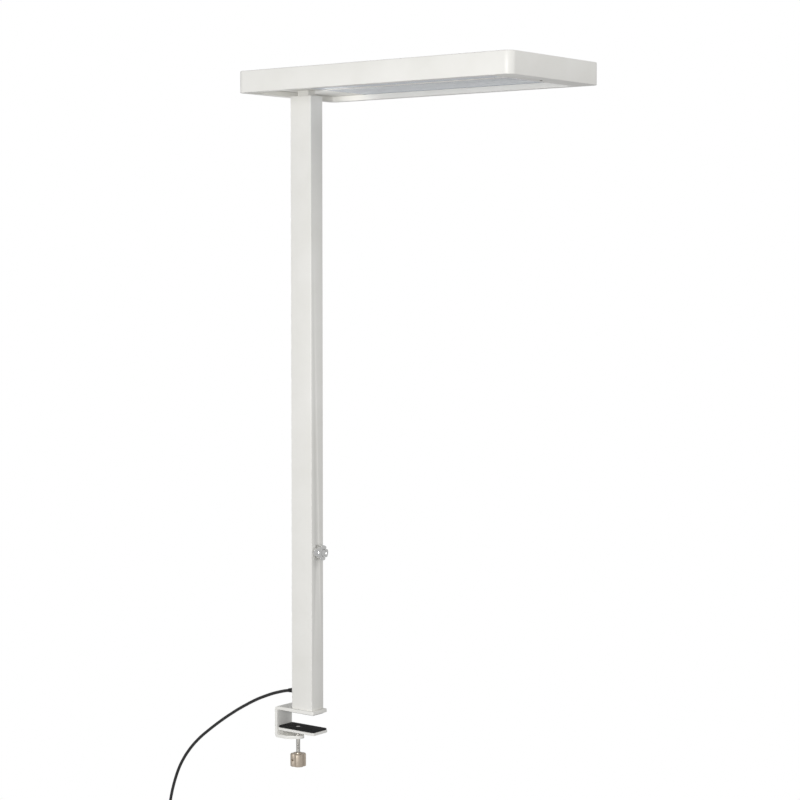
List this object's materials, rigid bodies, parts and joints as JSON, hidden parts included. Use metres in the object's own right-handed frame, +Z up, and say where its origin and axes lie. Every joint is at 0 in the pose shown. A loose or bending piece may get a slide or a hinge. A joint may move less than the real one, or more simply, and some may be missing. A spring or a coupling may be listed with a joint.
{
  "type": "clamp-on column desk luminaire",
  "caption": "Flat LED head fixed on a rectangular column that a C clamp with a screw-driven pressure plate holds on a desk edge, with a dimmer dial and a mains lead.",
  "frame": {"origin": "on the column's axis, in the plane where the upper arm's rubber pad rests on the desk top", "axes": "+X over the desk to the user's side, +Y along the desk edge, +Z up the column"},
  "size_m": [0.949, 0.278, 1.6279],
  "materials": {
    "white_powder": "fine-textured white powder coat",
    "bright_steel": "zinc-plated steel",
    "hand_knob_metal": "satin nickel-plated zinc casting",
    "dial_chrome": "polished chrome plate",
    "black_rubber": "matt black rubber",
    "black_plastic": "fine-grained black plastic",
    "lead_sheath": "satin black PVC sheath",
    "clear_optic": "micro-prismatic acrylic",
    "opal_plastic": "opal acrylic",
    "plain_aluminium": "mill-finish aluminium",
    "white_plastic": "moulded white plastic",
    "pin_brass": "nickel-plated brass"
  },
  "bodies": {
    "lamp": {"clamp_bracket": "white_powder", "arm_pad": "black_rubber", "base_bolt_1": "bright_steel", "base_bolt_2": "bright_steel", "spindle_bush": "bright_steel", "column_tube": "white_powder", "column_foot": "plain_aluminium", "encoder_body": "plain_aluminium", "encoder_nut": "bright_steel", "head_housing": "white_powder", "head_rim": "white_powder", "rear_blank": "white_powder", "optic_panel_right": "clear_optic", "optic_panel_left": "clear_optic", "centre_rib": "white_powder", "light_guide_right": "clear_optic", "light_guide_left": "clear_optic", "led_strip_right": "white_plastic", "led_strip_left": "white_plastic", "reflector_sheet": "white_plastic", "carrier_plate": "plain_aluminium", "uplight_board_right": "white_plastic", "uplight_board_left": "white_plastic", "uplight_cover": "opal_plastic", "driver_box": "white_plastic", "terminal_block": "white_plastic", "sensor_lens": "black_plastic", "sensor_board": "black_plastic", "head_neck": "white_powder", "neck_screw_1": "bright_steel", "neck_screw_2": "bright_steel", "neck_screw_3": "bright_steel", "neck_screw_4": "bright_steel", "inner_lead": "white_plastic", "cord_gland": "black_plastic", "cord_lead": "lead_sheath", "cord_coil": "lead_sheath", "cord_tie": "black_plastic", "cord_tail": "lead_sheath", "plug_boot": "black_plastic", "plug_body": "black_plastic", "plug_pin_1": "pin_brass", "plug_pin_2": "pin_brass"},
    "dial_rotor": {"encoder_rotor": "black_plastic"},
    "dial_knob": {"dial_shaft": "plain_aluminium", "dial_knob": "dial_chrome", "dial_cap": "dial_chrome", "dial_screw": "bright_steel"},
    "clamp_plate": {"pressure_plate": "white_powder", "pressure_pad": "black_rubber"},
    "clamp_screw": {"spindle": "bright_steel", "thrust_washer": "bright_steel", "hand_knob": "hand_knob_metal", "cross_pin": "bright_steel"}
  },
  "joints": [
    {"name": "dial_turn", "type": "hinge", "parent": "lamp", "child": "dial_rotor", "pos_m": [0.02, 0, 0.3095], "axis": [1, 0, 0], "range_deg": [-150, 150]},
    {"name": "dial_press", "type": "slide", "parent": "dial_rotor", "child": "dial_knob", "axis": [-1, 0, 0], "range_m": [0, 0.001], "stiffness_N_per_m": 2000},
    {"name": "clamp_travel", "type": "slide", "parent": "lamp", "child": "clamp_plate", "axis": [0, 0, 1], "range_m": [-0.005, 0.026]},
    {"name": "clamp_screw_turn", "type": "hinge", "parent": "clamp_plate", "child": "clamp_screw", "pos_m": [-0.024, 0, -0.094], "axis": [0, 0, 1], "range_deg": [-1450, 7500]}
  ],
  "couplings": [
    {"joint": "clamp_screw_turn", "follows": "clamp_travel", "rad_per_m": 5026.5}
  ]
}
